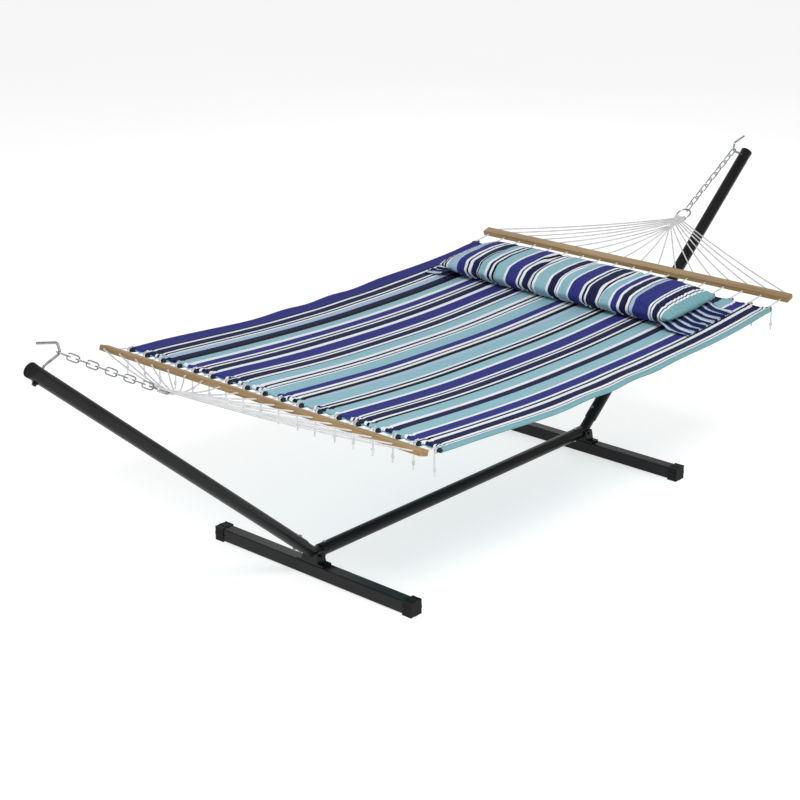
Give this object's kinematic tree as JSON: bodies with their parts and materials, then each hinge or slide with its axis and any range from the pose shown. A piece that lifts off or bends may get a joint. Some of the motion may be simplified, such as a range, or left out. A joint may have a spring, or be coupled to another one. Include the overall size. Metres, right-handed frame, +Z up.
{
  "type": "hammock on stand",
  "caption": "Quilted two-person hammock with wooden spreader bars, cord fans and a pillow, hung by chains from a two-arm steel stand.",
  "frame": {"origin": "on the floor under the middle of the stand", "axes": "+X towards the head end with the pillow, along the hammock; +Y across it; +Z up"},
  "size_m": [3.6594, 1.41, 1.0681],
  "materials": {
    "black_steel": "satin black powder coat",
    "black_plastic": "moulded black",
    "zinc": "bright zinc plate",
    "oak": "light brown, thin varnish",
    "white_cord": "braided white polyester cord",
    "striped_quilt": "woven stripes in blue, navy, aqua and white",
    "striped_pillow": "woven stripes in blue, navy, aqua and white",
    "frill": "gathered fabric, navy and pale blue"
  },
  "bodies": {
    "stand": {"foot_arm": "black_steel", "foot_arm_bolt": "zinc", "foot_base_beam": "black_steel", "foot_cross_bolt": "black_steel", "foot_elbow": "black_steel", "foot_end_cap_far": "black_plastic", "foot_end_cap_near": "black_plastic", "foot_hook": "zinc", "foot_hook_nut": "black_steel", "foot_saddle": "black_steel", "foot_saddle_bolt_far": "black_steel", "foot_saddle_bolt_near": "black_steel", "foot_tip_cap": "black_plastic", "foot_tube_bolt": "zinc", "head_arm": "black_steel", "head_arm_bolt": "zinc", "head_base_beam": "black_steel", "head_cross_bolt": "black_steel", "head_elbow": "black_steel", "head_end_cap_far": "black_plastic", "head_end_cap_near": "black_plastic", "head_hook": "zinc", "head_hook_nut": "black_steel", "head_saddle": "black_steel", "head_saddle_bolt_far": "black_steel", "head_saddle_bolt_near": "black_steel", "head_tip_cap": "black_plastic", "head_tube_bolt": "zinc", "lower_tube": "black_steel"},
    "foot_chain": {"foot_link_01": "zinc", "foot_link_02": "zinc", "foot_link_03": "zinc", "foot_link_04": "zinc", "foot_link_05": "zinc", "foot_link_06": "zinc", "foot_link_07": "zinc", "foot_link_08": "zinc", "foot_link_09": "zinc", "foot_link_10": "zinc"},
    "head_chain": {"head_link_01": "zinc", "head_link_02": "zinc", "head_link_03": "zinc", "head_link_04": "zinc", "head_link_05": "zinc", "head_link_06": "zinc", "head_link_07": "zinc", "head_link_08": "zinc", "head_link_09": "zinc", "head_link_10": "zinc"},
    "hammock": {"bed": "striped_quilt", "foot_cord_fan": "white_cord", "foot_ring": "zinc", "foot_spreader_bar": "oak", "head_cord_fan": "white_cord", "head_ring": "zinc", "head_spreader_bar": "oak"},
    "pillow": {"pillow": "striped_pillow", "pillow_frill_far": "frill", "pillow_frill_near": "frill"}
  },
  "joints": [
    {"name": "foot_swing", "type": "hinge", "parent": "stand", "child": "foot_chain", "pos_m": [-1.7174, 0, 1.0206], "axis": [1, 0, 0], "range_deg": [-25, 25]},
    {"name": "head_swing", "type": "hinge", "parent": "stand", "child": "head_chain", "pos_m": [1.7174, 0, 1.0206], "axis": [1, 0, 0], "range_deg": [-25, 25]},
    {"name": "bed_roll", "type": "hinge", "parent": "foot_chain", "child": "hammock", "pos_m": [-1.3895, 0, 0.8313], "axis": [1, 0, 0], "range_deg": [-20, 20]},
    {"name": "pillow_lift", "type": "slide", "parent": "hammock", "child": "pillow", "axis": [0, 0, 1], "range_m": [0, 0.3]}
  ],
  "couplings": [
    {"joint": "head_swing", "follows": "foot_swing", "ratio": 1}
  ]
}
